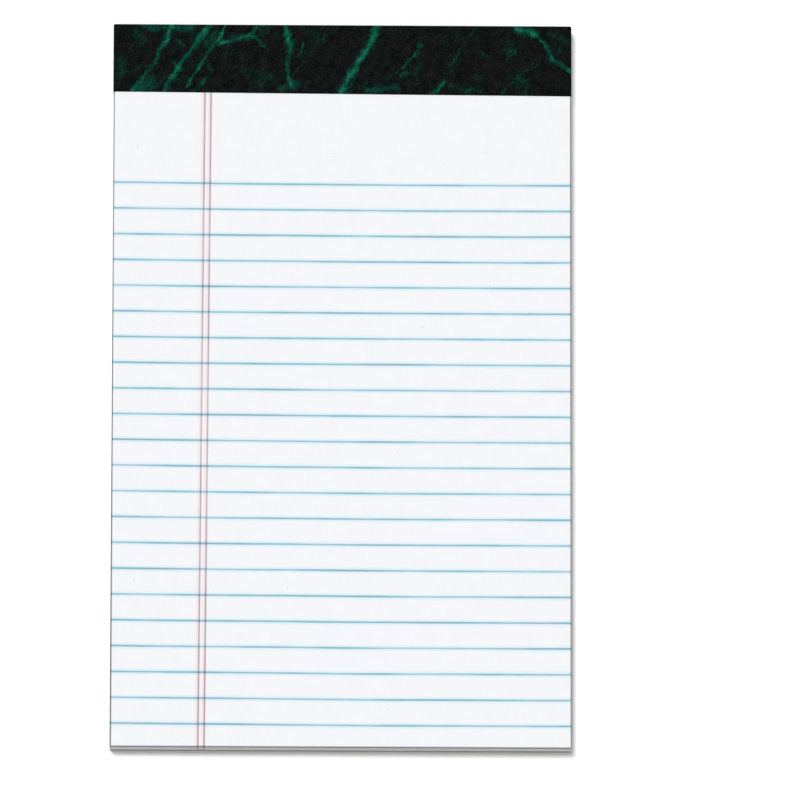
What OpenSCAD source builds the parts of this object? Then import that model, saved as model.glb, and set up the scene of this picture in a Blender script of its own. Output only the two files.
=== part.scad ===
// Lined writing pad, bound along its head.
// A block of ruled sheets lies on a heavy board back. Two wire stitches hold them together near the
// head, and a folded binding tape covers the stitches, the head and the first stretch of both faces.
// The pad lies on its back: width along X, head towards +Y, written face up.

/* [Sheets] */
// Width of the trimmed pad, side to side
pad_w = 127; // [90:0.5:220]
// Length of the trimmed sheets and board, head to tail
pad_l = 203.2; // [120:0.1:360]
// Number of sheets in the block
sheet_count = 50; // [25:1:100]
// Thickness of one sheet
sheet_t = 0.1; // [0.06:0.005:0.16]
// Radius to which the fold presses the two head edges of the stack
fold_r = 0.3; // [0.1:0.05:0.6]

/* [Board back] */
// Thickness of the board
board_t = 1.5; // [1:0.1:3]

/* [Binding tape] */
// Thickness of the tape
tape_t = 0.18; // [0.1:0.01:0.3]
// Full width of the strip before it is folded round the head
strip_w = 44.5; // [40:0.5:52]
// Depth of the front flap at mid width, measured from the head
front_flap = 19.6; // [15:0.1:24]
// Lean of the strip across the pad, in degrees: the front flap deepens towards +X
tape_lean = 0.32; // [0:0.02:1]
// How deep the back flap is pressed into the board
tape_press = 0.04; // [0.02:0.01:0.08]
// How far the tape stands past each side of the sheets
tape_proud = 0.15; // [0.05:0.05:0.3]
// Rounding of the two head corners of the tape, seen from the front
head_corner_r = 0.5; // [0.2:0.05:0.5]

/* [Wire stitches] */
// Diameter of the stitching wire
wire_d = 0.55; // [0.4:0.05:0.8]
// Length of a crown, from leg to leg
crown_l = 12; // [9:0.5:16]
// Length of each leg's clinched end, folded inwards beneath the board
clinch_l = 3.5; // [2:0.25:4]
// Inside radius of the bends in the wire
wire_bend_r = 0.4; // [0.2:0.05:0.6]
// Distance of the stitches from the head of the stack
stitch_from_head = 9; // [5:0.5:13]
// Distance of each stitch's middle from its side of the pad
stitch_from_side = 31.5; // [15:0.5:36]
// Room around the wire in the channels that it has pressed and pierced
wire_clearance = 0.05; // [0.02:0.01:0.1]

/* [Hidden] */
$fn = 48;

// Heights from the surface that the pad lies on: the back flap is lowest, then the clear underside
flap_z = tape_t;
board_z = flap_z - tape_press;
sheets_z = board_z + board_t;
block_t = sheet_count * sheet_t;
front_z = sheets_z + block_t;
pad_t = front_z + tape_t;

// The stack's ends along Y, with the middle of the whole pad, tape included, at the origin
stack_head = (pad_l - tape_t) / 2;
stack_tail = stack_head - pad_l;
tape_head = stack_head + tape_t;

tape_w = pad_w + 2 * tape_proud;
back_flap = strip_w - front_flap - pad_t;
// Depth of both flaps before their edges are trimmed at a lean: the whole strip is deep enough for either
flap_blank = strip_w;
// Overrun of cutting shapes past the faces that they cut
cut = 1;

stitch_y = stack_head - stitch_from_head;
stitch_x = pad_w / 2 - stitch_from_side;
crown_z = front_z - wire_d / 2;
clinch_z = flap_z + wire_d / 2;
// Radius of a bend at the middle of the wire
bend_mid_r = wire_bend_r + wire_d / 2;

// Side view of a slab from the tail end to a head whose two edges are rounded, in Y and Z
module slab_profile(tail, head, low, high, r) {
    translate([tail, low])
        square([head - r - tail, high - low]);
    translate([head - 2 * r, low + r])
        square([2 * r, high - low - 2 * r]);
    for (z = [low + r, high - r])
        translate([head - r, z])
            circle(r);
}

// Carries a side view through the width w, centred on X
module across(w) {
    translate([-w / 2, 0, 0])
        rotate([90, 0, 90])
            linear_extrude(w)
                children();
}

// Side view of the stitched stack as the tape holds it: sheets and board with their common rounded head
module stack_profile(tail) {
    slab_profile(tail, stack_head, flap_z, front_z, fold_r);
}

// The part of the stack between two heights
module stack_layer(low, high) {
    across(pad_w)
        intersection() {
            stack_profile(stack_tail);
            translate([stack_tail - cut, low])
                square([pad_l + 2 * cut, high - low]);
        }
}

// A straight length of wire along X, from x0 to x1 at height z
module wire_run(d, x0, x1, z) {
    translate([x0, 0, z])
        rotate([0, 90, 0])
            cylinder(d = d, h = x1 - x0);
}

// A quarter bend of wire round a point in the X-Z plane, from direction a to a + 90 degrees
module wire_bend(d, x, z, a) {
    translate([x, 0, z])
        rotate([90, -a, 0])
            mirror([0, 0, 1])
                rotate_extrude(angle = 90)
                    translate([bend_mid_r, 0])
                        circle(d = d);
}

// Right half of one stitch of wire diameter d: half the crown, a bend, a leg, a bend and the clinched end
module half_stitch(d, clinch_end) {
    leg_x = crown_l / 2;
    bend_x = leg_x - bend_mid_r;
    top_bend_z = crown_z - bend_mid_r;
    low_bend_z = clinch_z + bend_mid_r;
    wire_run(d, 0, bend_x, crown_z);
    wire_bend(d, bend_x, top_bend_z, 0);
    translate([leg_x, 0, low_bend_z])
        cylinder(d = d, h = top_bend_z - low_bend_z);
    wire_bend(d, bend_x, low_bend_z, -90);
    wire_run(d, clinch_end, bend_x, clinch_z);
}

// One stitch, centred on its crown
module stitch(d, clinch_end) {
    half_stitch(d, clinch_end);
    mirror([1, 0, 0])
        half_stitch(d, clinch_end);
}

// Places one child at each of the two stitches
module at_stitches() {
    for (side = [-1, 1])
        translate([side * stitch_x, stitch_y, 0])
            children();
}

// Channel of one stitch through the stack, open above the crown and below the clinched ends
module stitch_channel() {
    d = wire_d + 2 * wire_clearance;
    leg_x = crown_l / 2;
    clinch_end = leg_x - clinch_l - wire_clearance;
    stitch(d, clinch_end);
    translate([-leg_x - d / 2, -d / 2, crown_z])
        cube([crown_l + d, d, wire_d / 2 + cut]);
    for (side = [0, 1])
        mirror([side, 0, 0])
            translate([clinch_end, -d / 2, flap_z - cut])
                cube([leg_x + d / 2 - clinch_end, d, wire_d / 2 + cut]);
}

// Block of sheets, trimmed square on three sides
module sheets() {
    color("ghostwhite")
        difference() {
            stack_layer(sheets_z, front_z + cut);
            at_stitches()
                stitch_channel();
        }
}

// Space on the tail side of one long edge of the tape, which crosses mid width at y
module past_tape_edge(y, lean, low, high) {
    translate([0, y, low])
        rotate([0, 0, lean])
            translate([-pad_w, -2 * pad_l, 0])
                cube([2 * pad_w, 2 * pad_l, high - low]);
}

module past_front_flap(low, high) {
    past_tape_edge(tape_head - front_flap, -tape_lean, low, high);
}

module past_back_flap(low, high) {
    past_tape_edge(tape_head - back_flap, tape_lean, low, high);
}

// The board's clear underside, which stands lower than the impression of the back flap
module clear_underside() {
    intersection() {
        translate([-pad_w / 2, stack_tail, board_z])
            cube([pad_w, pad_l, board_t / 2]);
        past_back_flap(board_z - cut, sheets_z);
    }
}

// Board back, trimmed flush with the sheets
module back_board() {
    color("tan")
        difference() {
            union() {
                stack_layer(flap_z - cut, sheets_z);
                clear_underside();
            }
            at_stitches()
                stitch_channel();
        }
}

// Front outline of the tape blank, with its two head corners rounded
module tape_outline() {
    tail = tape_head - flap_blank;
    translate([-tape_w / 2, tail])
        square([tape_w, flap_blank - head_corner_r]);
    translate([-tape_w / 2 + head_corner_r, tail])
        square([tape_w - 2 * head_corner_r, flap_blank]);
    for (side = [-1, 1])
        translate([side * (tape_w / 2 - head_corner_r), tape_head - head_corner_r])
            circle(head_corner_r);
}

// Binding tape: a strip folded round the head, with its long edges at a slight lean to the sheets
module binding_tape() {
    tail = tape_head - flap_blank;
    mid_z = pad_t / 2;
    color("darkslategray")
        difference() {
            intersection() {
                across(tape_w)
                    slab_profile(tail, tape_head, 0, pad_t, fold_r + tape_t);
                linear_extrude(pad_t)
                    tape_outline();
            }
            across(tape_w + 2 * cut)
                stack_profile(tail - cut);
            past_front_flap(mid_z, pad_t + cut);
            past_back_flap(-cut, mid_z);
        }
}

// Two wire stitches, crowns on the front and clinched ends beneath the board
module wire_stitches() {
    color("silver")
        at_stitches()
            stitch(wire_d, crown_l / 2 - clinch_l);
}

sheets();
back_board();
binding_tape();
wire_stitches();
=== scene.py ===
"""Lined writing pad: a block of ruled sheets on a board back, bound along its head with marbled tape."""

import math

import bpy
import numpy as np
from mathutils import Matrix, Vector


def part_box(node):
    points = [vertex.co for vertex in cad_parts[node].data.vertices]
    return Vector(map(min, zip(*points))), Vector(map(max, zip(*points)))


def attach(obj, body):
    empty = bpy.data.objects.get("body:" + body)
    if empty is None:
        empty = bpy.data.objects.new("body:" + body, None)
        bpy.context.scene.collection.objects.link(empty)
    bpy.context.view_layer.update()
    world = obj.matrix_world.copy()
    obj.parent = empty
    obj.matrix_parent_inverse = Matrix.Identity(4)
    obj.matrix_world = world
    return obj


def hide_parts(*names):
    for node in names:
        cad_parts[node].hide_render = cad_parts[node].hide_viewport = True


bl_info = {
    "name": "Lined Writing Pad",
    "version": (1, 0, 0),
    "blender": (4, 5, 0),
    "location": "3D View > Sidebar > Writing Pad",
    "description": "Makes the ruled sheets, board back, marbled binding tape and stitches of a writing pad",
    "category": "Object",
}

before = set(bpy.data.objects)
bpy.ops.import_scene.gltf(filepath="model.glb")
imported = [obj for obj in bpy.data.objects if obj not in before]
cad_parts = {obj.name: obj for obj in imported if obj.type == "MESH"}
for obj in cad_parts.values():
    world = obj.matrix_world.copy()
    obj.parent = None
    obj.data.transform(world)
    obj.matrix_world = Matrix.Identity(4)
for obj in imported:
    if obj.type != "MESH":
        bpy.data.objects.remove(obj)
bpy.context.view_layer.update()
SHEETS_LO, SHEETS_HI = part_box("sheets")
BOARD_LO, BOARD_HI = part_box("back_board")
TAPE_LO, TAPE_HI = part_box("binding_tape")

MM = 0.001
TAPE_THICKNESS = TAPE_HI.z - SHEETS_HI.z
SHARP_ANGLE = math.radians(40)
OUTLINE_STEP = 2 * MM
FLOOR_REACH = 20.0

UNDERSIDE, WALLS, TOP = range(3)
BAKE_MAP = "OFBake"
RIGHT_EDGE, LEFT_EDGE, TAIL_EDGE, HEAD_EDGE, SHOWN_FACE, HIDDEN_FACE = range(6)

# Patches of the map for baked textures, in the order of the edges and faces above: the two axes that run
# along each patch, its lowest corner and its highest corner.
FLAT_PATCHES = (
    ((1, 2), (0.005, 0.005), (0.995, 0.085)),
    ((1, 2), (0.005, 0.095), (0.995, 0.175)),
    ((0, 2), (0.005, 0.185), (0.62, 0.265)),
    ((0, 2), (0.63, 0.185), (0.81, 0.265)),
    ((1, 0), (0.005, 0.275), (0.995, 0.995)),
    ((1, 0), (0.82, 0.185), (0.995, 0.265)),
)

# Veins printed on the front flap: width and strength, then places on the strip in millimetres, across the
# pad from its middle and down from the head.
VEINS = (
    (0.9, 0.9, ((-47, 0), (-50, 6.5), (-52, 10.5), (-55, 14.5), (-58.5, 18.5))),
    (1.2, 1.05, ((-36, 0), (-40, 4), (-42, 7.5), (-46, 13), (-49.5, 19.5))),
    (0.8, 0.9, ((-32.5, 0), (-34, 3), (-37, 7.5), (-43, 17.5))),
    (0.9, 0.95, ((-35.5, 5), (-30, 4.5), (-26, 3), (-22, 0))),
    (0.7, 0.7, ((-26, 3), (-23.5, 4.5), (-21, 7))),
    (1, 0.95, ((-16, 0), (-15.5, 4), (-14, 6.5), (-15.5, 11.5), (-14.5, 17))),
    (0.6, 0.7, ((-11, 5), (-12, 9))),
    (0.9, 0.95, ((-38, 15.5), (-41.5, 19.5))),
    (1.6, 1.1, ((10, 0), (7, 6), (4.5, 10.5), (-0.5, 19.5))),
    (0.7, 0.6, ((20.5, 8), (15.5, 13), (8, 18.5))),
    (0.5, 0.4, ((37, 0.5), (32, 8), (28.5, 15))),
    (0.9, 0.9, ((28.5, 15.5), (24.5, 19.5))),
    (1.5, 1.05, ((48.5, 0.5), (53, 2.5))),
    (0.9, 0.85, ((53, 2.5), (56, 4.5), (57.5, 8.5))),
    (1.1, 0.95, ((57.5, 8.5), (59.5, 10.5), (63.5, 13))),
    (0.6, 0.4, ((-57.5, 4), (-60.5, 10.5), (-63, 15.5))),
    (0.6, 0.4, ((44, 19.5), (50, 13), (55, 10.5))),
)

# Clouds on the front flap: spread and strength, then the two ends of each.
CLOUDS = (
    (4, 1, ((-56.5, 18.5), (-53.5, 17))),
    (2.4, 0.95, ((-55, 0.5), (-42, 1))),
    (2.2, 0.75, ((-48.5, 1), (-50, 6))),
    (1.8, 0.75, ((-45.5, 5), (-44.5, 5.5))),
    (2, 0.7, ((-34, 1.5), (-38, 6))),
    (2.2, 0.8, ((-30, 4), (-24.5, 3.5))),
    (1.8, 0.7, ((-47, 10.5), (-46, 12.5))),
    (1.6, 0.65, ((-37.5, 11.5), (-36.5, 13))),
    (2.2, 0.85, ((-15.5, 3), (-14.5, 7.5))),
    (2.6, 0.85, ((-17, 18.5), (-13, 17))),
    (1.8, 0.8, ((21.5, 5.5), (20.5, 8.5))),
    (2.2, 0.8, ((7, 19), (15, 18))),
    (2.4, 0.8, ((48.5, 1.5), (53.5, 2.5))),
    (1.5, 0.85, ((47, 7), (48, 7))),
    (1.3, 0.65, ((39, 8), (40.5, 8.5))),
    (2.6, 0.6, ((8, 4), (3, 13))),
    (2.2, 0.55, ((58, 2), (62, 4))),
    (2.2, 0.5, ((30, 17.5), (38, 18.5))),
)

# Lean of the marbling away from the line from head to tail.
VEIN_LEAN = math.radians(29)


def count(name, description, default, most):
    """A whole number that the user can set."""
    return bpy.props.IntProperty(name=name, description=description, default=default, min=1, max=most)


def amount(name, description, default, **kind):
    """A plain number that the user can set, or one of the kind given."""
    return bpy.props.FloatProperty(name=name, description=description, default=default, **kind)


def length(name, description, millimetres):
    """A length that the user can set, in metres."""
    return amount(name, description, millimetres * MM, unit="LENGTH", precision=5)


def angle(name, description, degrees):
    """An angle that the user can set, in radians."""
    return amount(name, description, math.radians(degrees), subtype="ANGLE")


def triple(name, description, default, **kind):
    """Three numbers that the user can set, of the kind given."""
    return bpy.props.FloatVectorProperty(name=name, description=description, default=default, size=3, **kind)


def colour(name, bearer, red, green, blue):
    """A colour that the user can set, in scene-linear shares of a screen colour from 0 to 255."""
    share = np.array((red, green, blue)) / 255
    linear = np.where(share <= 0.04045, share / 12.92, ((share + 0.055) / 1.055) ** 2.4)
    return triple(name, f"Colour of {bearer}", linear.tolist(), subtype="COLOR", min=0, max=1)


class SheetSettings(bpy.types.PropertyGroup):
    """Sizes and colours of the block of ruled sheets"""

    leaf_count: count("Sheets", "Number of sheets in the block", 50, 200)
    trim_scatter: length("Trim scatter", "How far a sheet's edge lies behind the trimmed face", 0.06)
    groove: length("Groove", "Depth of the line between two sheets on the trimmed faces", 0.04)
    cockle: length("Cockle", "Height of the slow waves in the top sheet", 0.05)
    paper_colour: colour("Paper", "the paper", 244, 245, 248)
    edge_colour: colour("Cut edge", "the paper's cut edges", 232, 232, 234)
    # The next two settings set a painted shade: a dark band along the top sheet's cut edges that stands in
    # for the shadow line there, with only a little of the grey of a knife-pressed edge.
    shade_band_width: length("Rim width", "Width of the pressed rim along the knife's cut", 0.38)
    shade_band_colour: colour("Rim", "the pressed rim along the knife's cut", 96, 96, 99)
    speck_colour: colour("Specks", "the few dark specks in the paper", 150, 146, 142)
    rule_count: count("Rules", "Number of writing lines", 22, 60)
    rule_pitch: length("Rule spacing", "Distance from one writing line to the next", 7.227)
    first_rule: length("First rule", "Distance of the first writing line from the head", 45.33)
    rule_width: length("Rule width", "Width of a writing line", 0.46)
    rule_sag: length("Rule sag", "How far a writing line hangs at mid width", 0.18)
    rule_bow: length("Rule bow", "How far the middle writing lines lie below even spacing", 0.22)
    rule_lean: angle("Rule lean", "Fall of the writing lines towards the right", 0.19)
    rule_colour: colour("Rule ink", "the writing lines", 160, 188, 201)
    teal_colour: colour("Teal ink", "the writing lines where teal", 158, 191, 190)
    dull_colour: colour("Dull ink", "the writing lines where grey", 172, 185, 194)
    rule_feather: length("Rule feather", "How far the ink runs out beside a writing line", 1.2)
    rule_tint: colour("Rule tint", "the ink run out beside a writing line", 205, 236, 251)
    margin_place: length("Margin", "Distance of the first margin line from the left edge", 24.85)
    margin_gap: length("Margin gap", "Distance between the two margin lines", 1.71)
    margin_width: length("Margin width", "Width of a margin line", 0.41)
    margin_lean: angle("Margin lean", "Lean of the margin lines towards the right", 0.33)
    margin_colour: colour("Margin ink", "the margin lines", 182, 162, 166)
    violet_colour: colour("Violet ink", "the margin lines where violet", 174, 169, 175)
    margin_feather: length("Margin feather", "How far the ink runs out beside a margin line", 1.05)
    margin_drift: length("Margin drift", "How far the run-out ink lies to the left of its line", 0.3)
    margin_tint: colour("Margin tint", "the ink run out beside a margin line", 247, 228, 231)


class BoardSettings(bpy.types.PropertyGroup):
    """Sizes and colours of the board back"""

    ply_count: count("Plies", "Number of plies seen on the cut edge", 6, 20)
    ply_scatter: length("Ply scatter", "How far a ply lies behind the cut face", 0.05)
    edge_radius: length("Edge radius", "Rounding of the board's edges", 0.15)
    board_colour: colour("Board", "the board", 156, 148, 133)
    cut_colour: colour("Cut edge", "the board's cut edges", 140, 136, 130)
    fleck_colour: colour("Fleck", "the dark flecks in the board", 92, 84, 74)
    fibre_colour: colour("Fibre", "the pale fibres in the board", 196, 190, 178)


class TapeSettings(bpy.types.PropertyGroup):
    """Sizes and colours of the marbled binding tape"""

    strip_width: length("Strip width", "Full width of the strip before it is folded", 44.5)
    lean: angle("Lean", "Lean of the strip's long edges across the pad", 0.32)
    fold_radius: length("Fold radius", "Outer radius of the two folds at the head", 0.48)
    corner_radius: length("Corner radius", "Rounding of the two head corners seen from the front", 0.5)
    ground_colour: colour("Ground", "the dark ground", 12, 15, 14)
    cloud_colour: colour("Clouds", "the faint clouds in the ground", 10, 58, 45)
    vein_colour: colour("Veins", "the veins", 8, 75, 57)
    bright_colour: colour("Bright veins", "the brightest parts of the veins", 22, 110, 84)
    speck_colour: colour("Specks", "the fine specks", 90, 106, 99)


class StitchSettings(bpy.types.PropertyGroup):
    """Colours of the wire stitches"""

    wire_colour: colour("Wire", "the bare wire", 196, 197, 200)
    dull_colour: colour("Dull wire", "the wire where it has dulled", 150, 152, 156)


class StageSettings(bpy.types.PropertyGroup):
    """Camera, light and floor"""

    camera_place: triple(
        "Camera place", "Where the camera stands", (-0.033, -0.57, 3.026),
        subtype="TRANSLATION", unit="LENGTH"
    )
    camera_turn: triple(
        "Camera turn", "How the camera is turned", np.radians((10.608, -0.952, 0.103)).tolist(),
        subtype="EULER", unit="ROTATION"
    )
    focal_length: amount("Focal length", "Focal length of the camera in millimetres", 500.1)
    sky_strength: amount("Sky strength", "Share of the light that comes evenly from all round", 0.45)
    key_strength: amount("Key strength", "Share of the light that comes from the key lamp", 0.57)
    key_direction: triple(
        "Key direction", "Way that the key lamp's light travels", (1.2, -1.45, -6.8), subtype="DIRECTION"
    )
    key_spread: angle("Key spread", "Apparent size of the key lamp", 15)
    floor_colour: colour("Floor", "the floor", 255, 255, 255)
    floor_lift: amount("Floor lift", "How much brighter the camera sees the floor", 1.14)


def new_piece(name, points, faces):
    """Object at the origin with the given points and faces, smooth-shaded up to the sharp angle."""
    mesh = bpy.data.meshes.new(name)
    mesh.from_pydata(points.tolist(), [], faces)
    mesh.polygons.foreach_set("use_smooth", np.ones(len(mesh.polygons), dtype=bool))
    mesh.set_sharp_from_angle(angle=SHARP_ANGLE)
    mesh.validate()
    piece = bpy.data.objects.new(name, mesh)
    bpy.context.scene.collection.objects.link(piece)
    return piece


def place_piece(piece, node, material):
    """Sets the piece on the pad in the place of its CAD node and gives it its finish."""
    piece.data.materials.append(material)
    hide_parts(node)
    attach(piece, "root")


def round_faces(rings, columns):
    """Four-sided faces of a grid, from each ring to the next, whose last column is joined to the first."""
    ring = np.arange(rings - 1)[:, None] * columns
    here = np.arange(columns)[None, :]
    after = (here + 1) % columns
    faces = np.stack((ring + here, ring + after, ring + columns + after, ring + columns + here), axis=-1)
    return faces.reshape(-1, 4)


def stacked_rings(under, walls, over):
    """Closed surface over a grid of rings by columns: each ring is joined to the next by four-sided faces,
    and the first and last rings are closed by fans to their own middles. Also gives the part that each face
    belongs to: the underside, the walls from the first wall ring to the last, or the top."""
    rings = np.concatenate((under, walls, over))
    ring_count, columns = rings.shape[:2]
    here = np.arange(columns)
    after = (here + 1) % columns
    low_pole = np.full(columns, ring_count * columns)
    last = (ring_count - 1) * columns
    low_fan = np.stack((low_pole, after, here), axis=-1)
    high_fan = np.stack((last + here, last + after, low_pole + 1), axis=-1)
    poles = np.stack((rings[0].mean(axis=0), rings[-1].mean(axis=0)))
    points = np.concatenate((rings.reshape(-1, 3), poles))
    faces = round_faces(ring_count, columns).tolist() + low_fan.tolist() + high_fan.tolist()
    wall_span = (len(under), len(under) + len(walls) - 1)
    parts = np.repeat(np.digitize(np.arange(ring_count - 1), wall_span), columns)
    parts = np.concatenate((parts, np.full(columns, UNDERSIDE), np.full(columns, TOP)))
    return points, faces, parts


def lay_flat(piece, parts, shown):
    """UV map for baked textures. Each face lies in the patch of its side, placed there by two axes of its
    place in the piece's box. The top or underside that shows has the widest patch."""
    mesh = piece.data
    points = np.empty((len(mesh.vertices), 3))
    mesh.vertices.foreach_get("co", points.ravel())
    corners = np.empty(len(mesh.loops), dtype=int)
    mesh.loops.foreach_get("vertex_index", corners)
    counts = np.empty(len(mesh.polygons), dtype=int)
    mesh.polygons.foreach_get("loop_total", counts)

    place = ((points - points.min(axis=0)) / np.ptp(points, axis=0))[corners]
    starts = np.cumsum(counts) - counts
    across, along, _ = (np.add.reduceat(place, starts) / counts[:, None] - 0.5).T
    side_edge = np.where(across < 0, LEFT_EDGE, RIGHT_EDGE)
    end_edge = np.where(along > 0, HEAD_EDGE, TAIL_EDGE)
    edge = np.where(np.abs(across) > np.abs(along), side_edge, end_edge)
    patch = np.where(parts == WALLS, edge, np.where(parts == shown, SHOWN_FACE, HIDDEN_FACE))

    axes, low, high = (np.array(column) for column in zip(*FLAT_PATCHES))
    patch = np.repeat(patch, counts)
    share = np.take_along_axis(place, axes[patch], axis=1)
    spots = low[patch] + share * (high - low)[patch]
    mesh.uv_layers.new(name=BAKE_MAP).uv.foreach_set("vector", spots.ravel())


def trimmed_outline(lo, hi, radius):
    """Points round a rectangle with rounded corners, counter-clockwise from above, and the way out at each:
    four quarter circles joined by straight runs at equal steps."""
    middle = np.array(((lo.x + hi.x) / 2, (lo.y + hi.y) / 2))
    half = np.array(((hi.x - lo.x) / 2, (hi.y - lo.y) / 2)) - radius
    corners = middle + half * np.array(((1, 1), (-1, 1), (-1, -1), (1, -1)))
    points = []
    ways_out = []
    for turn in range(4):
        angles = math.pi / 2 * (turn + np.linspace(0, 1, 5))
        out = np.stack((np.cos(angles), np.sin(angles)), axis=-1)
        arc = corners[turn] + radius * out
        run_end = corners[(turn + 1) % 4] + radius * out[-1]
        steps = max(2, round(np.linalg.norm(run_end - arc[-1]) / OUTLINE_STEP))
        share = np.linspace(0, 1, steps + 1)[1:-1, None]
        run = arc[-1] + share * (run_end - arc[-1])
        points += [arc, run]
        ways_out += [out, np.broadcast_to(out[-1], run.shape)]
    return np.concatenate(points), np.concatenate(ways_out)


def inset_rings(outline, distances, shares):
    """Rings inside an outline: first moved in by each distance on both axes, then the last of those
    shrunk to each share towards the middle."""
    middle = (outline.min(axis=0) + outline.max(axis=0)) / 2
    half = (outline.max(axis=0) - outline.min(axis=0)) / 2
    scale = 1 - distances[:, None] / half
    scale = np.concatenate((scale, scale[-1] * shares[:, None]))
    return middle + scale[:, None, :] * (outline - middle)


def at_height(plan, height):
    """Points of a plan, rings by columns by two, with their height added."""
    height = np.broadcast_to(height, plan.shape[:-1])
    return np.concatenate((plan, height[..., None]), axis=-1)


def sheet_block(settings):
    """The block of sheets as rings round the trimmed outline. From the middle of the underside the rings
    widen to the outline, climb the trimmed faces with three rings to a sheet (a groove, then the sheet's
    lower and upper edge, each sheet set back by its own small slip), and close over the top sheet, whose
    height is the block's, less a slight roll at the knife's edge, plus slow waves that fade at the edges."""
    leaf_count = settings.leaf_count
    knife_round = 0.12 * MM
    outline, out = trimmed_outline(SHEETS_LO, SHEETS_HI, knife_round)
    rng = np.random.default_rng(4)
    leaf = (SHEETS_HI.z - SHEETS_LO.z) / leaf_count
    slips = rng.normal(0, 0.35, (leaf_count, 2)) @ out.T
    lift_run = 5
    lifts = np.repeat(rng.uniform(0, 0.5, leaf_count // lift_run + 1), lift_run)[:leaf_count, None]
    set_back = settings.trim_scatter * np.clip(0.45 + slips + lifts, 0, 1.3)
    set_back[-1] = 0
    low_edges = SHEETS_LO.z + leaf * np.arange(leaf_count)
    heights = (low_edges[:, None] + leaf * np.array((0.08, 0.3, 0.82))).ravel()
    depths = set_back[:, None, :] + settings.groove * np.array((1, 0, 0))[None, :, None]
    depths = depths.reshape(-1, len(outline))
    walls = at_height(outline - depths[..., None] * out, heights[:, None])

    cap = inset_rings(outline, np.array((0.2 * MM,)), np.array((0.9, 0.4)))
    under = at_height(cap[::-1], SHEETS_LO.z)

    distances = np.array((0.03, 0.1, 0.3, 0.8, 2, 5, 10)) * MM
    face = inset_rings(outline, distances, np.linspace(0.92, 0.08, 12))
    x, y = face[..., 0], face[..., 1]
    from_side = np.minimum(x - SHEETS_LO.x, SHEETS_HI.x - x)
    from_end = np.minimum(y - SHEETS_LO.y, SHEETS_HI.y - y)
    from_edge = np.minimum(from_side, from_end)
    roll = 0.02 * MM * np.exp(-from_edge / knife_round)
    waves = np.sin(x / 0.0145 + 0.6) * np.sin(y / 0.021 + 0.3) + 0.6 * np.sin(x / 0.009 - y / 0.017)
    inwards = 1 - np.exp(-from_edge / (12 * MM))
    waves = settings.cockle / 1.6 * waves * inwards
    over = at_height(face, SHEETS_HI.z - roll + waves)

    points, faces, parts = stacked_rings(under, walls, over)
    cut_face = np.zeros(len(points))
    cut_face[under[..., 0].size:][: walls[..., 0].size] = 1
    return points, faces, parts, cut_face


def board_slab(settings, flap_edge):
    """The board as rings round its trimmed outline: the underside from its middle outwards, a quarter
    circle up to the cut face, two rings to a ply with small set-backs, a quarter circle over to the top
    and the top to its middle. Near the head the underside rises by the depth of the pressed back flap."""
    ply_count = settings.ply_count
    edge_radius = settings.edge_radius
    outline, out = trimmed_outline(BOARD_LO, BOARD_HI, 0.2 * MM)
    rng = np.random.default_rng(9)
    turn = np.radians(np.linspace(0, 90, 5))
    round_depth = edge_radius * (1 - np.sin(turn))
    round_rise = edge_radius * (1 - np.cos(turn))
    ply = (BOARD_HI.z - BOARD_LO.z - 2 * edge_radius) / ply_count
    ply_heights = BOARD_LO.z + edge_radius + ply * (np.arange(ply_count)[:, None] + np.array((0.15, 0.85)))
    along = np.linspace(0, 2 * math.pi, len(outline), endpoint=False)
    phases = rng.uniform(0, 2 * math.pi, (ply_count, 3, 1))
    turns = np.array((9, 23, 51))[None, :, None]
    ripple = np.sin(turns * along + phases).mean(axis=1)
    set_back = np.clip(0.5 + 0.8 * ripple + rng.uniform(-0.3, 0.3, (ply_count, 1)), 0, 1)
    ply_depths = np.repeat(settings.ply_scatter * set_back, 2, axis=0)

    heights = np.concatenate((BOARD_LO.z + round_rise, ply_heights.ravel(), BOARD_HI.z - round_rise[::-1]))
    round_depths = round_depth[:, None] * np.ones(len(outline))
    depths = np.concatenate((round_depths, ply_depths, round_depths[::-1]))
    walls = at_height(outline - depths[..., None] * out, heights[:, None])

    inner = outline - edge_radius * out
    cap = inset_rings(inner, np.array((0.4, 2, 8)) * MM, np.linspace(0.9, 0.1, 9))
    under = at_height(cap[::-1], BOARD_LO.z)
    over = at_height(cap, BOARD_HI.z)

    step_length = 1.5 * MM
    press_depth = TAPE_LO.z + TAPE_THICKNESS - BOARD_LO.z
    for rings in (under, walls):
        past_flap = np.clip((rings[..., 1] - flap_edge(rings[..., 0])) / step_length + 1, 0, 1)
        pressed = press_depth * past_flap * past_flap * (3 - 2 * past_flap)
        low = rings[..., 2] < (BOARD_LO.z + BOARD_HI.z) / 2
        rings[..., 2] += np.where(low, pressed, 0)
    return stacked_rings(under, walls, over)


def tape_flaps(settings):
    """Where the front and back edges of the tape lie: each a straight line across the pad, with a lean."""
    slope = math.tan(settings.lean)
    front_depth = TAPE_HI.y - TAPE_LO.y - slope * TAPE_HI.x
    back_depth = settings.strip_width - front_depth - (TAPE_HI.z - TAPE_LO.z)

    def front_edge(x):
        return TAPE_HI.y - front_depth - slope * x

    def back_edge(x):
        return TAPE_HI.y - back_depth + slope * x

    return front_edge, back_edge


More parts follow.
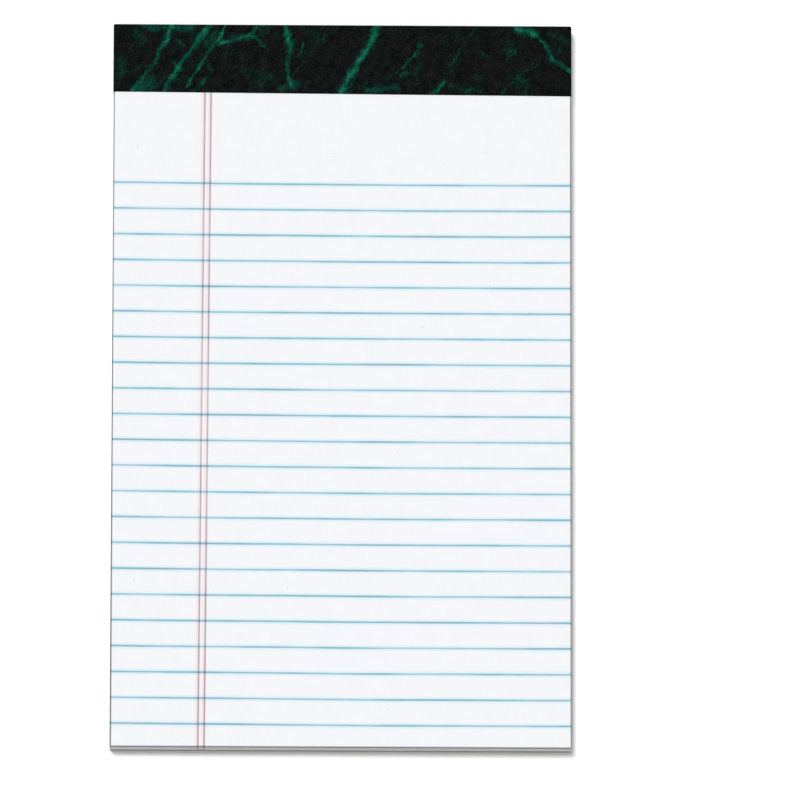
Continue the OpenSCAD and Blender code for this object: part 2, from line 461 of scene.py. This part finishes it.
def folded_tape(settings):
    """The tape as one closed strip over a grid of columns across the pad by places along the strip. The
    strip's outer side runs along the front flap, round a quarter circle, down the head, round a second
    quarter circle and back along the back flap; its inner side lies one thickness within. Both ends and
    both long edges are closed. Also gives each point's place on the unrolled strip: millimetres across the
    pad, and millimetres from the head, below zero beyond the first fold."""
    front_edge, back_edge = tape_flaps(settings)
    bend = settings.fold_radius
    corner = settings.corner_radius
    width = TAPE_HI.x
    left = -width + corner * (1 - np.cos(np.radians(np.linspace(0, 90, 7)[:-1])))
    x = np.concatenate((left, np.linspace(-width + corner, width - corner, 129), -left[::-1]))
    past_corner = np.clip(np.abs(x) - (width - corner), 0, corner)
    head = TAPE_HI.y - corner + np.sqrt(corner**2 - past_corner**2)
    start = (head - bend)[:, None]
    front = front_edge(x)[:, None]
    back = back_edge(x)[:, None]
    high = TAPE_HI.z
    low = TAPE_LO.z

    flat = np.linspace(0, 1, 33)
    flat_on = flat[1:]
    quarter = np.linspace(0, math.pi / 2, 9)[1:]
    drop = np.linspace(0, 1, 13)[1:]
    sine = np.sin(quarter)
    cosine = np.cos(quarter)

    # Along the strip: front flap, first fold, head, second fold, back flap.
    y = np.concatenate(
        (
            front + flat * (start - front),
            start + bend * sine,
            np.repeat(head[:, None], len(drop), axis=1),
            start + bend * cosine,
            start + flat_on * (back - start),
        ),
        axis=1,
    )
    z = np.concatenate(
        (
            np.full(len(flat), high),
            high - bend + bend * cosine,
            high - bend - drop * (high - low - 2 * bend),
            low + bend - bend * sine,
            np.full(len(flat_on), low),
        )
    )
    out_y = np.concatenate((0 * flat, sine, np.ones(len(drop)), cosine, 0 * flat_on))
    out_z = np.concatenate((np.ones(len(flat)), cosine, 0 * drop, -sine, -np.ones(len(flat_on))))
    x = np.broadcast_to(x[:, None], y.shape)
    z = np.broadcast_to(z, y.shape)

    steps = np.hypot(np.diff(y, axis=1), np.diff(z, axis=1))
    travel = np.concatenate((np.zeros((len(x), 1)), np.cumsum(steps, axis=1)), axis=1)
    from_head = TAPE_HI.y - front - travel
    dents = np.sin(x / 0.0063 + from_head / 0.0021) * np.sin(from_head / 0.0047 - 0.8) - 1
    past_fold = np.clip((from_head - 1 * MM) / (3 * MM), 0, 1)
    dents = 0.012 * MM * dents * past_fold

    outer = np.stack((x, y + dents * out_y, z + dents * out_z), axis=-1)
    inner = np.stack((x, y - TAPE_THICKNESS * out_y, z - TAPE_THICKNESS * out_z), axis=-1)
    section = np.concatenate((outer, inner[:, ::-1]), axis=1)
    strip = np.stack((x / MM, from_head / MM, np.zeros_like(x)), axis=-1)
    strip = np.concatenate((strip, strip[:, ::-1]), axis=1)

    columns, places = section.shape[:2]
    skin = np.roll(round_faces(columns, places)[:, ::-1], 1, axis=1)
    pair = np.arange(places // 2 - 1)
    cap = np.stack((pair, pair + 1, places - 2 - pair, places - 1 - pair), axis=-1)
    far_cap = (columns - 1) * places + cap[:, ::-1]
    faces = np.concatenate((skin, cap, far_cap)).tolist()
    return section.reshape(-1, 3), faces, strip.reshape(-1, 3)


class Signal:
    """Value that varies over a surface; arithmetic with it adds nodes to its tree"""

    def __init__(self, nodes, socket):
        self.nodes = nodes
        self.socket = socket

    def __add__(self, other):
        return self.nodes.math("ADD", self, other)

    def __sub__(self, other):
        return self.nodes.math("SUBTRACT", self, other)

    def __rsub__(self, other):
        return self.nodes.math("SUBTRACT", other, self)

    def __mul__(self, other):
        return self.nodes.math("MULTIPLY", self, other)

    def __truediv__(self, other):
        return self.nodes.math("DIVIDE", self, other)

    def __abs__(self):
        return self.nodes.math("ABSOLUTE", self)


class Nodes:
    """Node tree that is filled by short calls, most of which hand back a signal"""

    def __init__(self, tree):
        self.tree = tree
        self.tree.nodes.clear()

    def node(self, kind, **settings):
        made = self.tree.nodes.new(kind)
        for key, value in settings.items():
            setattr(made, key, value)
        return made

    def feed(self, socket, value):
        """Links a signal or another socket to a socket, or sets the socket's own value."""
        if isinstance(value, Signal):
            value = value.socket
        if isinstance(value, bpy.types.NodeSocket):
            self.tree.links.new(value, socket)
        elif socket.type == "RGBA" and len(value) == 3:
            socket.default_value = (*value, 1)
        else:
            socket.default_value = value

    def signal(self, kind, inputs, output=0, **settings):
        """One output of a new node, whose inputs are fed by their names or numbers."""
        made = self.node(kind, **settings)
        for key, value in inputs.items():
            self.feed(made.inputs[key], value)
        return Signal(self, made.outputs[output])

    def show(self, kind, shader):
        """Sends a shader to the tree's own output."""
        self.feed(self.node(kind).inputs["Surface"], shader)

    def math(self, operation, *values, **settings):
        return self.signal("ShaderNodeMath", dict(enumerate(values)), operation=operation, **settings)

    def largest(self, first, *others):
        for other in others:
            first = self.math("MAXIMUM", first, other)
        return first

    def smallest(self, first, *others):
        for other in others:
            first = self.math("MINIMUM", first, other)
        return first

    def vector(self, operation, *values, scale=None):
        inputs = dict(enumerate(values))
        if scale is not None:
            inputs["Scale"] = scale
        output = "Value" if operation in ("DOT_PRODUCT", "DISTANCE") else "Vector"
        return self.signal("ShaderNodeVectorMath", inputs, output, operation=operation)

    def split(self, place):
        """The three axes of a place."""
        made = self.node("ShaderNodeSeparateXYZ")
        self.feed(made.inputs[0], place)
        return [Signal(self, socket) for socket in made.outputs]

    def ease(self, value, low, high, first=0, last=1):
        """Smooth step from first to last as the value goes from low to high."""
        inputs = {"Value": value, "From Min": low, "From Max": high, "To Min": first, "To Max": last}
        return self.signal("ShaderNodeMapRange", inputs, "Result", interpolation_type="SMOOTHSTEP")


class Finish(Nodes):
    """Material of one piece, with its shader at hand"""

    def __init__(self, name):
        self.material = bpy.data.materials.new(name)
        self.material.use_nodes = True
        super().__init__(self.material.node_tree)
        self.surface = self.node("ShaderNodeBsdfPrincipled")
        self.show("ShaderNodeOutputMaterial", self.surface.outputs["BSDF"])

    def set(self, **sockets):
        """Sets the shader's own sockets, spaces in their names written as underscores."""
        for name, value in sockets.items():
            self.feed(self.surface.inputs[name.replace("_", " ")], value)

    def bump(self, height, depth):
        """Surface relief from a height of 0 to 1 that stands for the depth given in millimetres."""
        self.set(Normal=self.signal("ShaderNodeBump", {"Distance": depth * MM, "Height": height}))

    def place(self):
        """Object coordinates in millimetres."""
        return self.vector("SCALE", self.signal("ShaderNodeTexCoord", {}, "Object"), scale=1 / MM)

    def attribute(self, name, output="Vector"):
        return self.signal("ShaderNodeAttribute", {}, output, attribute_name=name)

    def leaning(self, place, turn, stretch):
        """Place turned about Z, then drawn out along its own second axis."""
        inputs = {"Vector": place, "Rotation": (0, 0, turn), "Scale": (1, stretch, 1)}
        return self.signal("ShaderNodeMapping", inputs, vector_type="TEXTURE")

    def noise(self, place, size, detail=2, roughness=0.5, squeeze=None, output="Fac"):
        """Soft noise whose lumps are about as wide as the size given, squeezed by a factor on each axis."""
        if squeeze is not None:
            place = self.vector("MULTIPLY", place, squeeze)
        inputs = {"Vector": place, "Scale": 1 / size, "Detail": detail, "Roughness": roughness}
        return self.signal("ShaderNodeTexNoise", inputs, output)

    def scatter(self, value):
        """An even random number from 0 to 1 for each whole value."""
        return self.signal("ShaderNodeTexWhiteNoise", {"W": value}, "Value", noise_dimensions="1D")

    def specks(self, place, spacing, radius):
        """One small round speck to each cell of a random mosaic, each of its own strength up to a half."""
        made = self.node("ShaderNodeTexVoronoi", voronoi_dimensions="2D")
        self.feed(made.inputs["Vector"], place)
        self.feed(made.inputs["Scale"], 1 / spacing)
        near = self.ease(made.outputs["Distance"], 0.4 * radius / spacing, radius / spacing, 1, 0)
        return near * (self.split(made.outputs["Color"])[0] * 0.5)

    def blend(self, share, first, second, mode="MIX"):
        inputs = {0: share, 6: first, 7: second}
        return self.signal("ShaderNodeMix", inputs, 2, data_type="RGBA", blend_type=mode)

    def tones(self, share, base, dark, pale):
        """Blend of two tones of one colour, which are dark and pale times as bright."""
        base = np.array(base)
        return self.blend(share, base * dark, np.minimum(base * pale, 1))


class RuledPaper(Finish):
    """White writing paper: lines are printed by distance from their places on the top sheet, with uneven
    ink, ragged edges and darker crossings; the cut edges show each sheet's own tone and the line ends"""

    # In millimetres: how far edges of print and of the painted edge shade stray, how far fibres draw ink
    # out, how far print slips from sheet to sheet on the cut faces, how far writing lines wander, and the
    # solid part of the painted edge shade.
    STRAY = 0.1
    WICKING = 0.7
    SLIP = 0.9
    WANDER = 0.25
    SOLID_SHADE_BAND = 0.07

    def __init__(self, settings):
        super().__init__("ruled_paper")
        self.settings = settings
        self.spot = self.place()
        self.x, self.y, z = self.split(self.spot)
        leaf = (SHEETS_HI.z - SHEETS_LO.z) / settings.leaf_count / MM
        self.wall = self.ease(self.attribute("cut_face", "Fac"), 0.4, 0.6)
        self.chance = self.scatter(self.math("FLOOR", (z - SHEETS_LO.z / MM) / leaf))
        self.slip = (self.chance - 0.5) * (self.wall * self.SLIP)
        self.fibres = self.noise(self.spot, 0.5, 3, 0.6, (1, 0.35, 1))
        self.tooth = self.noise(self.spot, 0.22, 2, 0.6)
        self.ragged = (self.tooth - 0.5) * self.STRAY
        self.wicking = (0.5 - self.fibres) * self.WICKING

    def printed(self, off, width, soft):
        """Share of ink at a distance off a line's middle: full within the line, with soft sides."""
        half = width / MM / 2
        return self.ease(off, half - soft, half + soft, 1, 0)

    def run_out(self, off, reach):
        """Share of run-out ink at a distance off a line's middle, drawn further along some fibres."""
        return self.ease(off + self.wicking, 0, reach / MM, 1, 0)

    def on_top(self, strength, fading):
        """Strength of ink, which fades by a share on the cut faces."""
        return strength * (self.wall * -fading + 1)

    def rules(self):
        """Ink of the writing lines and ink run out beside them. Lines lie at equal steps down the sheet,
        with a fall to the right, a slow wander, a sag by the square of the place across and a bow by the
        square of the place along, and each point takes its distance from the nearest."""
        settings = self.settings
        pitch = settings.rule_pitch / MM
        first = (TAPE_HI.y - settings.first_rule) / MM
        half_run = (settings.rule_count - 1) * pitch / 2
        across = self.x / (SHEETS_HI.x / MM)
        along = (self.y - (first - half_run)) / half_run
        fallen = self.x * math.tan(settings.rule_lean) + self.y
        wander = (self.noise(self.spot, 45, 1) - 0.5) * self.WANDER
        sag = across * across * (-settings.rule_sag / MM)
        bow = (1 - along * along) * (settings.rule_bow / MM)
        steps = (first - (fallen + wander + self.slip + (bow + sag))) / pitch
        nearest = self.largest(self.math("ROUND", steps), 0)
        nearest = self.smallest(nearest, settings.rule_count - 1)
        off = abs(steps - nearest) * pitch

        inking = self.noise(self.spot, 5, 3, 0.55, (0.25, 1, 1))
        strength = self.on_top(self.ease(inking, 0.28, 0.66, 0.72, 1), fading=0.6)
        swell = (inking - 0.5) * -0.18 + (off + self.ragged)
        ink = self.printed(swell, settings.rule_width, soft=0.13) * strength
        return ink, self.run_out(off, settings.rule_feather) * strength

    def margins(self):
        """Ink of the two margin lines and ink run out beside them, by the distance from the nearer line.
        The ink is heavier towards head and tail."""
        settings = self.settings
        leaning = self.y * -math.tan(settings.margin_lean) + self.x
        aside = leaning + self.slip - (SHEETS_LO.x + settings.margin_place) / MM

        def off(shift):
            return self.smallest(abs(aside + shift), abs(aside + (shift - settings.margin_gap / MM)))

        flow = self.noise(self.spot, 4, 3, 0.6, (1, 0.25, 1))
        heavy = self.ease(abs(self.y), 40, 90, 0, 0.22)
        strength = self.smallest(self.ease(flow, 0.3, 0.65, 0.68, 0.92) + heavy, 1)
        strength = self.on_top(strength, fading=0.45)
        ink = self.printed(off(0) + self.ragged, settings.margin_width, soft=0.14) * strength
        return ink, self.run_out(off(settings.margin_drift / MM), settings.margin_feather) * strength

    def edge_shading(self):
        """Share of the painted edge shade, by the distance from the nearest cut edge: a dark band that
        stands in for the shadow line along the top sheet's cut edges. On the left and at the tail the band
        is wider, and more so towards the tail."""
        from_left = self.x - SHEETS_LO.x / MM
        from_right = SHEETS_HI.x / MM - self.x
        from_tail = self.y - SHEETS_LO.y / MM
        widening = self.ease(self.y, SHEETS_LO.y / MM, TAPE_LO.y / MM, 0.6, 0.9)
        from_cut = self.smallest(self.smallest(from_left, from_tail) * widening, from_right)
        return self.ease(from_cut + self.ragged, self.SOLID_SHADE_BAND, self.settings.shade_band_width / MM, 1, 0)

    def blank(self):
        """Colour of the paper before it is printed."""
        settings = self.settings
        mottle = self.noise(self.spot, 6, 3, 0.55)
        shade = self.ease(mottle * 0.5 + self.fibres * 0.5, 0.3, 0.7)
        face = self.tones(shade, settings.paper_colour, dark=0.985, pale=1.012)
        face = self.blend(self.specks(self.spot, spacing=26, radius=0.24), face, settings.speck_colour)
        # Painted shade: the dark band along the top sheet's cut edges, blended over the paper.
        face = self.blend(self.edge_shading(), face, settings.shade_band_colour)
        streaks = self.noise(self.spot, 1, 2, 0.6, (0.08, 0.08, 6))
        cut = self.tones(self.chance * 0.55 + streaks * 0.45, settings.edge_colour, dark=0.84, pale=1.1)
        return self.blend(self.wall, face, cut)

    def tint(self, ink):
        """Factor that turns the colour of the paper into the colour of an ink."""
        return np.minimum(np.array(ink) / np.array(self.settings.paper_colour), 1)

    def hue(self, size, squeeze, low, high, first, second):
        """Ink that turns from one colour to another in patches."""
        patches = self.noise(self.spot, size, 2, 0.5, squeeze)
        return self.blend(self.ease(patches, low, high), first, second)


def ruled_paper(settings):
    """Blank paper multiplied by the tints of its inks: run-out ink, then ink, of rules and then margins."""
    paper = RuledPaper(settings)
    blue = paper.tint(settings.rule_colour)
    teal = paper.tint(settings.teal_colour)
    dull = paper.tint(settings.dull_colour)
    red = paper.tint(settings.margin_colour)
    violet = paper.tint(settings.violet_colour)
    rule_hue = paper.hue(9, (0.4, 1, 1), 0.4, 0.6, blue, teal)
    rule_hue = paper.hue(5, (0.3, 1, 1), 0.48, 0.66, rule_hue, dull)
    margin_hue = paper.hue(9, (5, 0.5, 1), 0.36, 0.6, red, violet)
    rule, rule_run_out = paper.rules()
    margin, margin_run_out = paper.margins()
    inks = (
        (rule_run_out, paper.tint(settings.rule_tint)),
        (rule, rule_hue),
        (margin_run_out, paper.tint(settings.margin_tint)),
        (margin, margin_hue),
    )
    body = paper.blank()
    for share, ink in inks:
        body = paper.blend(share, body, ink, "MULTIPLY")
    roughness = paper.ease(paper.fibres, 0.2, 0.8, 0.78, 0.92)
    paper.set(Base_Color=body, Roughness=roughness, Specular_IOR_Level=0.15)
    paper.bump(paper.tooth * 0.45 + paper.fibres * 0.55, depth=0.012)
    return paper.material


def grey_board(settings):
    """Grey board pressed from mixed pulp, with mottling, long pale fibres, dark flecks and layered edges."""
    board = Finish("grey_board")
    place = board.place()
    mottle = board.noise(place, 3, 4, 0.6)
    body = board.tones(board.ease(mottle, 0.3, 0.7), settings.board_colour, dark=0.9, pale=1.08)
    sway = board.vector("SCALE", board.noise(place, 4, 1, output="Color"), scale=3)
    bent = board.vector("ADD", place, sway)
    strands = board.noise(bent, 1, 2, 0.6, (3.2, 0.35, 3.2))
    strands_across = board.noise(bent, 1, 2, 0.6, (0.35, 3.2, 3.2))
    fibres = board.ease(board.largest(strands, strands_across), 0.62, 0.74, 0, 0.55)
    body = board.blend(fibres, body, settings.fibre_colour)
    flecks = board.ease(board.noise(place, 0.7, 1), 0.71, 0.76, 0, 0.7)
    body = board.blend(flecks, body, settings.fleck_colour)
    layers = board.noise(place, 1, 3, 0.6, (0.12, 0.12, 5))
    cut = board.tones(board.ease(layers, 0.3, 0.7), settings.cut_colour, dark=0.8, pale=1.1)
    way_out = board.signal("ShaderNodeNewGeometry", {}, "True Normal")
    side = board.ease(abs(board.split(way_out)[2]), 0.5, 0.8, 1, 0)
    body = board.blend(side * 0.8, body, cut)
    roughness = board.ease(mottle, 0.3, 0.7, 0.72, 0.86)
    board.set(Base_Color=body, Roughness=roughness, Specular_IOR_Level=0.2)
    board.bump(mottle * 0.4 + strands * 0.6, depth=0.03)
    return board.material


def stroke_group():
    """Node group of one printed stroke: full strength on the line between two places, fading smoothly to
    nothing at its width, by the distance to the nearest point of the line. Its halo reaches three widths."""
    group = bpy.data.node_groups.new("tape_stroke", "ShaderNodeTree")
    for name in ("Place", "Start", "Run"):
        group.interface.new_socket(name=name, in_out="INPUT", socket_type="NodeSocketVector")
    for name in ("Width", "Strength"):
        group.interface.new_socket(name=name, in_out="INPUT", socket_type="NodeSocketFloat")
    for name in ("Level", "Halo"):
        group.interface.new_socket(name=name, in_out="OUTPUT", socket_type="NodeSocketFloat")
    nodes = Nodes(group)
    given = nodes.node("NodeGroupInput").outputs
    result = nodes.node("NodeGroupOutput").inputs
    place, start, run, width, strength = (Signal(nodes, socket) for socket in given[:5])

    away = nodes.vector("SUBTRACT", place, start)
    along = nodes.vector("DOT_PRODUCT", away, run)
    whole = nodes.vector("DOT_PRODUCT", run, run)
    share = nodes.math("DIVIDE", along, whole, use_clamp=True)
    gap = nodes.vector("DISTANCE", away, nodes.vector("SCALE", run, scale=share))
    nodes.feed(result["Level"], nodes.ease(gap, width, 0, 0, strength))
    nodes.feed(result["Halo"], nodes.ease(gap, width * 3, 0, 0, strength))
    return group


def strokes(finish, group, place, table):
    """Strongest level and strongest halo of all the strokes in a table at each place."""
    levels = []
    halos = []
    for width, strength, points in table:
        for start, end in zip(points, points[1:]):
            run = (end[0] - start[0], end[1] - start[1], 0)
            given = {"Place": place, "Start": (*start, 0), "Run": run, "Width": width, "Strength": strength}
            made = finish.node("ShaderNodeGroup", node_tree=group)
            for name, value in given.items():
                finish.feed(made.inputs[name], value)
            levels.append(made.outputs["Level"])
            halos.append(made.outputs["Halo"])
    return finish.largest(*levels), finish.largest(*halos)


def marbled_paper(settings):
    """Dark binding paper with a marbled print. Places on the unrolled strip are pushed about by noise;
    strokes and clouds lie on the front flap, noise veins on the head and back flap. Their levels are added
    up, broken by streaks along the lean of the veins and by grain, and the sum runs from the dark ground
    through clouds and veins to the brightest green."""
    tape = Finish("marbled_tape")
    strip = tape.attribute("strip")
    flow = strip
    for size, detail, roughness, reach in ((5, 2, 0.5, 2.6), (1.6, 3, 0.6, 1.8)):
        sway = tape.noise(strip, size, detail, roughness, output="Color")
        sway = tape.vector("SUBTRACT", sway, (0.5, 0.5, 0.5))
        flow = tape.vector("ADD", flow, tape.vector("SCALE", sway, scale=reach))
    flow = tape.vector("MULTIPLY", flow, (1, 1, 0))

    grain = tape.noise(strip, 0.38, 2, 0.7) - 0.5
    lumps = tape.noise(strip, 2.6, 4, 0.6) - 0.5
    streaks = tape.noise(tape.leaning(flow, VEIN_LEAN, 3.5), 0.9, 3, 0.6) - 0.5
    breaks = tape.noise(tape.leaning(strip, VEIN_LEAN, 2), 2.6)
    group = stroke_group()
    veins, halos = strokes(tape, group, flow, VEINS)
    clouds = strokes(tape, group, flow, CLOUDS)[0]

    beyond = tape.ease(tape.split(strip)[1], 0.8, -0.8)
    contour = tape.noise(tape.leaning(flow, VEIN_LEAN, 3.2), 8)
    from_contour = abs(contour - 0.5)
    some = tape.ease(tape.noise(strip, 15, 1), 0.42, 0.6)
    share = some * (beyond * 0.65 + 0.3)
    veins = tape.largest(veins, tape.ease(from_contour, 0.03, 0) * share)
    halos = tape.largest(halos, tape.ease(from_contour, 0.09, 0) * share)

    veins = veins * tape.ease(breaks, 0.38, 0.6, 0.35, 1)
    haze = tape.ease(tape.noise(flow, 9, 4, 0.6), 0.4, 0.75, 0, 0.6)
    glow = tape.largest(clouds, haze, halos * 0.35)
    grit = tape.largest(lumps + (streaks * 2.2 + (grain * 3.2 + 1)), 0)
    level = (veins * 0.6 + glow * 0.38) * grit

    dust = streaks * 0.5 + (lumps * 0.6 + grain)
    body = tape.tones(tape.ease(dust, -0.25, 0.4), settings.ground_colour, dark=0.4, pale=3)
    layers = (
        (tape.ease(level, 0.07, 0.45), settings.cloud_colour),
        (tape.ease(level, 0.28, 0.75), settings.vein_colour),
        (tape.ease(level, 0.5, 1.05), settings.bright_colour),
        (tape.ease(tape.noise(strip, 0.36, 1), 0.64, 0.78, 0, 0.35), settings.speck_colour),
    )
    for share, ink in layers:
        body = tape.blend(share, body, ink)
    roughness = tape.ease(lumps, -0.2, 0.2, 0.4, 0.52)
    tape.set(Base_Color=body, Roughness=roughness, Specular_IOR_Level=0.015)
    tape.bump(lumps * 0.4 + grain, depth=0.016)
    return tape.material


def drawn_wire(settings):
    """Drawn steel wire with long draw marks and dulled patches."""
    wire = Finish("stitching_wire")
    place = wire.place()
    marks = wire.noise(place, 1, 3, 0.6, (0.3, 6, 6))
    patches = wire.ease(wire.noise(place, 1.2, 3, 0.6), 0.4, 0.65)
    body = wire.blend(patches, settings.wire_colour, settings.dull_colour)
    wire.set(Base_Color=body, Metallic=1, Roughness=wire.ease(marks, 0.3, 0.7, 0.24, 0.42))
    wire.bump(marks, depth=0.006)
    return wire.material


def background_rays(nodes):
    """Signal that is 1 where the camera looks at the background, directly or by way of gloss or glass."""
    path = nodes.node("ShaderNodeLightPath").outputs
    return nodes.largest(path["Is Camera Ray"], path["Is Glossy Ray"], path["Is Transmission Ray"])


def pale_floor(settings):
    """Matt white floor that keeps shadows, and looks a little brighter than the light that it returns."""
    material = bpy.data.materials.new("pale_floor")
    material.use_nodes = True
    nodes = Nodes(material.node_tree)
    plain = np.array(settings.floor_colour)
    lit = nodes.signal("ShaderNodeBsdfDiffuse", {"Color": plain})
    seen = nodes.signal("ShaderNodeBsdfDiffuse", {"Color": plain * settings.floor_lift})
    either = nodes.signal("ShaderNodeMixShader", {0: background_rays(nodes), 1: lit, 2: seen})
    nodes.show("ShaderNodeOutputMaterial", either)
    return material


def studio_sky(strength):
    """Even light of the given strength from all round, in front of a white background."""
    world = bpy.data.worlds.new("studio")
    world.use_nodes = True
    nodes = Nodes(world.node_tree)
    levels = {"Value": background_rays(nodes), "To Min": strength, "To Max": 1}
    level = nodes.signal("ShaderNodeMapRange", levels, "Result")
    sky = nodes.signal("ShaderNodeBackground", {"Color": (1, 1, 1), "Strength": level})
    nodes.show("ShaderNodeOutputWorld", sky)
    return world


class MakeSheets(bpy.types.Operator):
    """Makes the block of ruled sheets"""

    bl_idname = "writing_pad.make_sheets"
    bl_label = "Ruled Sheets"

    def execute(self, context):
        settings = context.scene.pad_sheets
        points, faces, parts, cut_face = sheet_block(settings)
        piece = new_piece("ruled_sheets", points, faces)
        lay_flat(piece, parts, TOP)
        marks = piece.data.attributes.new("cut_face", "FLOAT", "POINT")
        marks.data.foreach_set("value", cut_face)
        place_piece(piece, "sheets", ruled_paper(settings))
        return {"FINISHED"}


class MakeBoard(bpy.types.Operator):
    """Makes the board back"""

    bl_idname = "writing_pad.make_board"
    bl_label = "Board Back"

    def execute(self, context):
        settings = context.scene.pad_board
        back_edge = tape_flaps(context.scene.pad_tape)[1]
        points, faces, parts = board_slab(settings, back_edge)
        piece = new_piece("board_back", points, faces)
        lay_flat(piece, parts, UNDERSIDE)
        place_piece(piece, "back_board", grey_board(settings))
        return {"FINISHED"}


class MakeTape(bpy.types.Operator):
    """Makes the folded binding tape"""

    bl_idname = "writing_pad.make_tape"
    bl_label = "Binding Tape"

    def execute(self, context):
        settings = context.scene.pad_tape
        points, faces, strip = folded_tape(settings)
        piece = new_piece("folded_tape", points, faces)
        places = piece.data.attributes.new("strip", "FLOAT_VECTOR", "POINT")
        places.data.foreach_set("vector", strip.ravel())
        place_piece(piece, "binding_tape", marbled_paper(settings))
        return {"FINISHED"}


class FinishStitches(bpy.types.Operator):
    """Gives the two wire stitches their bare metal finish"""

    bl_idname = "writing_pad.finish_stitches"
    bl_label = "Wire Stitches"

    def execute(self, context):
        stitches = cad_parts["wire_stitches"]
        stitches.data.materials.clear()
        stitches.data.materials.append(drawn_wire(context.scene.pad_stitches))
        return {"FINISHED"}


class MakeStage(bpy.types.Operator):
    """Makes the floor, the light and the camera"""

    bl_idname = "writing_pad.make_stage"
    bl_label = "Stage"

    def execute(self, context):
        scene = context.scene
        settings = scene.pad_stage
        corners = FLOOR_REACH * np.array(((-1, -1, 0), (1, -1, 0), (1, 1, 0), (-1, 1, 0)))
        floor = new_piece("floor", corners, [(0, 1, 2, 3)])
        floor.data.materials.append(pale_floor(settings))

        scene.world = studio_sky(settings.sky_strength)

        travel = np.array(settings.key_direction) / np.linalg.norm(settings.key_direction)
        lamp = bpy.data.lights.new("key_lamp", "SUN")
        lamp.energy = settings.key_strength * math.pi / abs(travel[2])
        lamp.angle = settings.key_spread
        key = bpy.data.objects.new("key_lamp", lamp)
        key.rotation_euler = (math.asin(travel[1]), -math.atan2(travel[0], -travel[2]), 0)
        key.visible_glossy = False
        scene.collection.objects.link(key)

        eye = bpy.data.cameras.new("camera")
        eye.lens = settings.focal_length
        eye.clip_end = 100
        camera = bpy.data.objects.new("camera", eye)
        camera.location = settings.camera_place
        camera.rotation_euler = settings.camera_turn
        scene.collection.objects.link(camera)
        scene.camera = camera
        scene.view_settings.view_transform = "Standard"
        return {"FINISHED"}


class PadPanel(bpy.types.Panel):
    """Lists the pad's settings and the steps that make it"""

    bl_idname = "VIEW3D_PT_writing_pad"
    bl_label = "Writing Pad"
    bl_space_type = "VIEW_3D"
    bl_region_type = "UI"
    bl_category = "Writing Pad"

    def draw(self, context):
        for name, (group, operator) in STEPS.items():
            box = self.layout.box()
            settings = getattr(context.scene, name)
            for key in group.__annotations__:
                box.prop(settings, key)
            box.operator(operator.bl_idname)


STEPS = {
    "pad_sheets": (SheetSettings, MakeSheets),
    "pad_board": (BoardSettings, MakeBoard),
    "pad_tape": (TapeSettings, MakeTape),
    "pad_stitches": (StitchSettings, FinishStitches),
    "pad_stage": (StageSettings, MakeStage),
}


def register():
    for name, (group, operator) in STEPS.items():
        bpy.utils.register_class(group)
        setattr(bpy.types.Scene, name, bpy.props.PointerProperty(type=group))
        bpy.utils.register_class(operator)
    bpy.utils.register_class(PadPanel)


def unregister():
    bpy.utils.unregister_class(PadPanel)
    for name, (group, operator) in reversed(STEPS.items()):
        bpy.utils.unregister_class(operator)
        delattr(bpy.types.Scene, name)
        bpy.utils.unregister_class(group)


def main():
    """Makes the pad and its stage."""
    register()
    bpy.ops.writing_pad.make_stage()
    bpy.ops.writing_pad.make_sheets()
    bpy.ops.writing_pad.make_board()
    bpy.ops.writing_pad.make_tape()
    bpy.ops.writing_pad.finish_stitches()


if __name__ == "__main__":
    main()
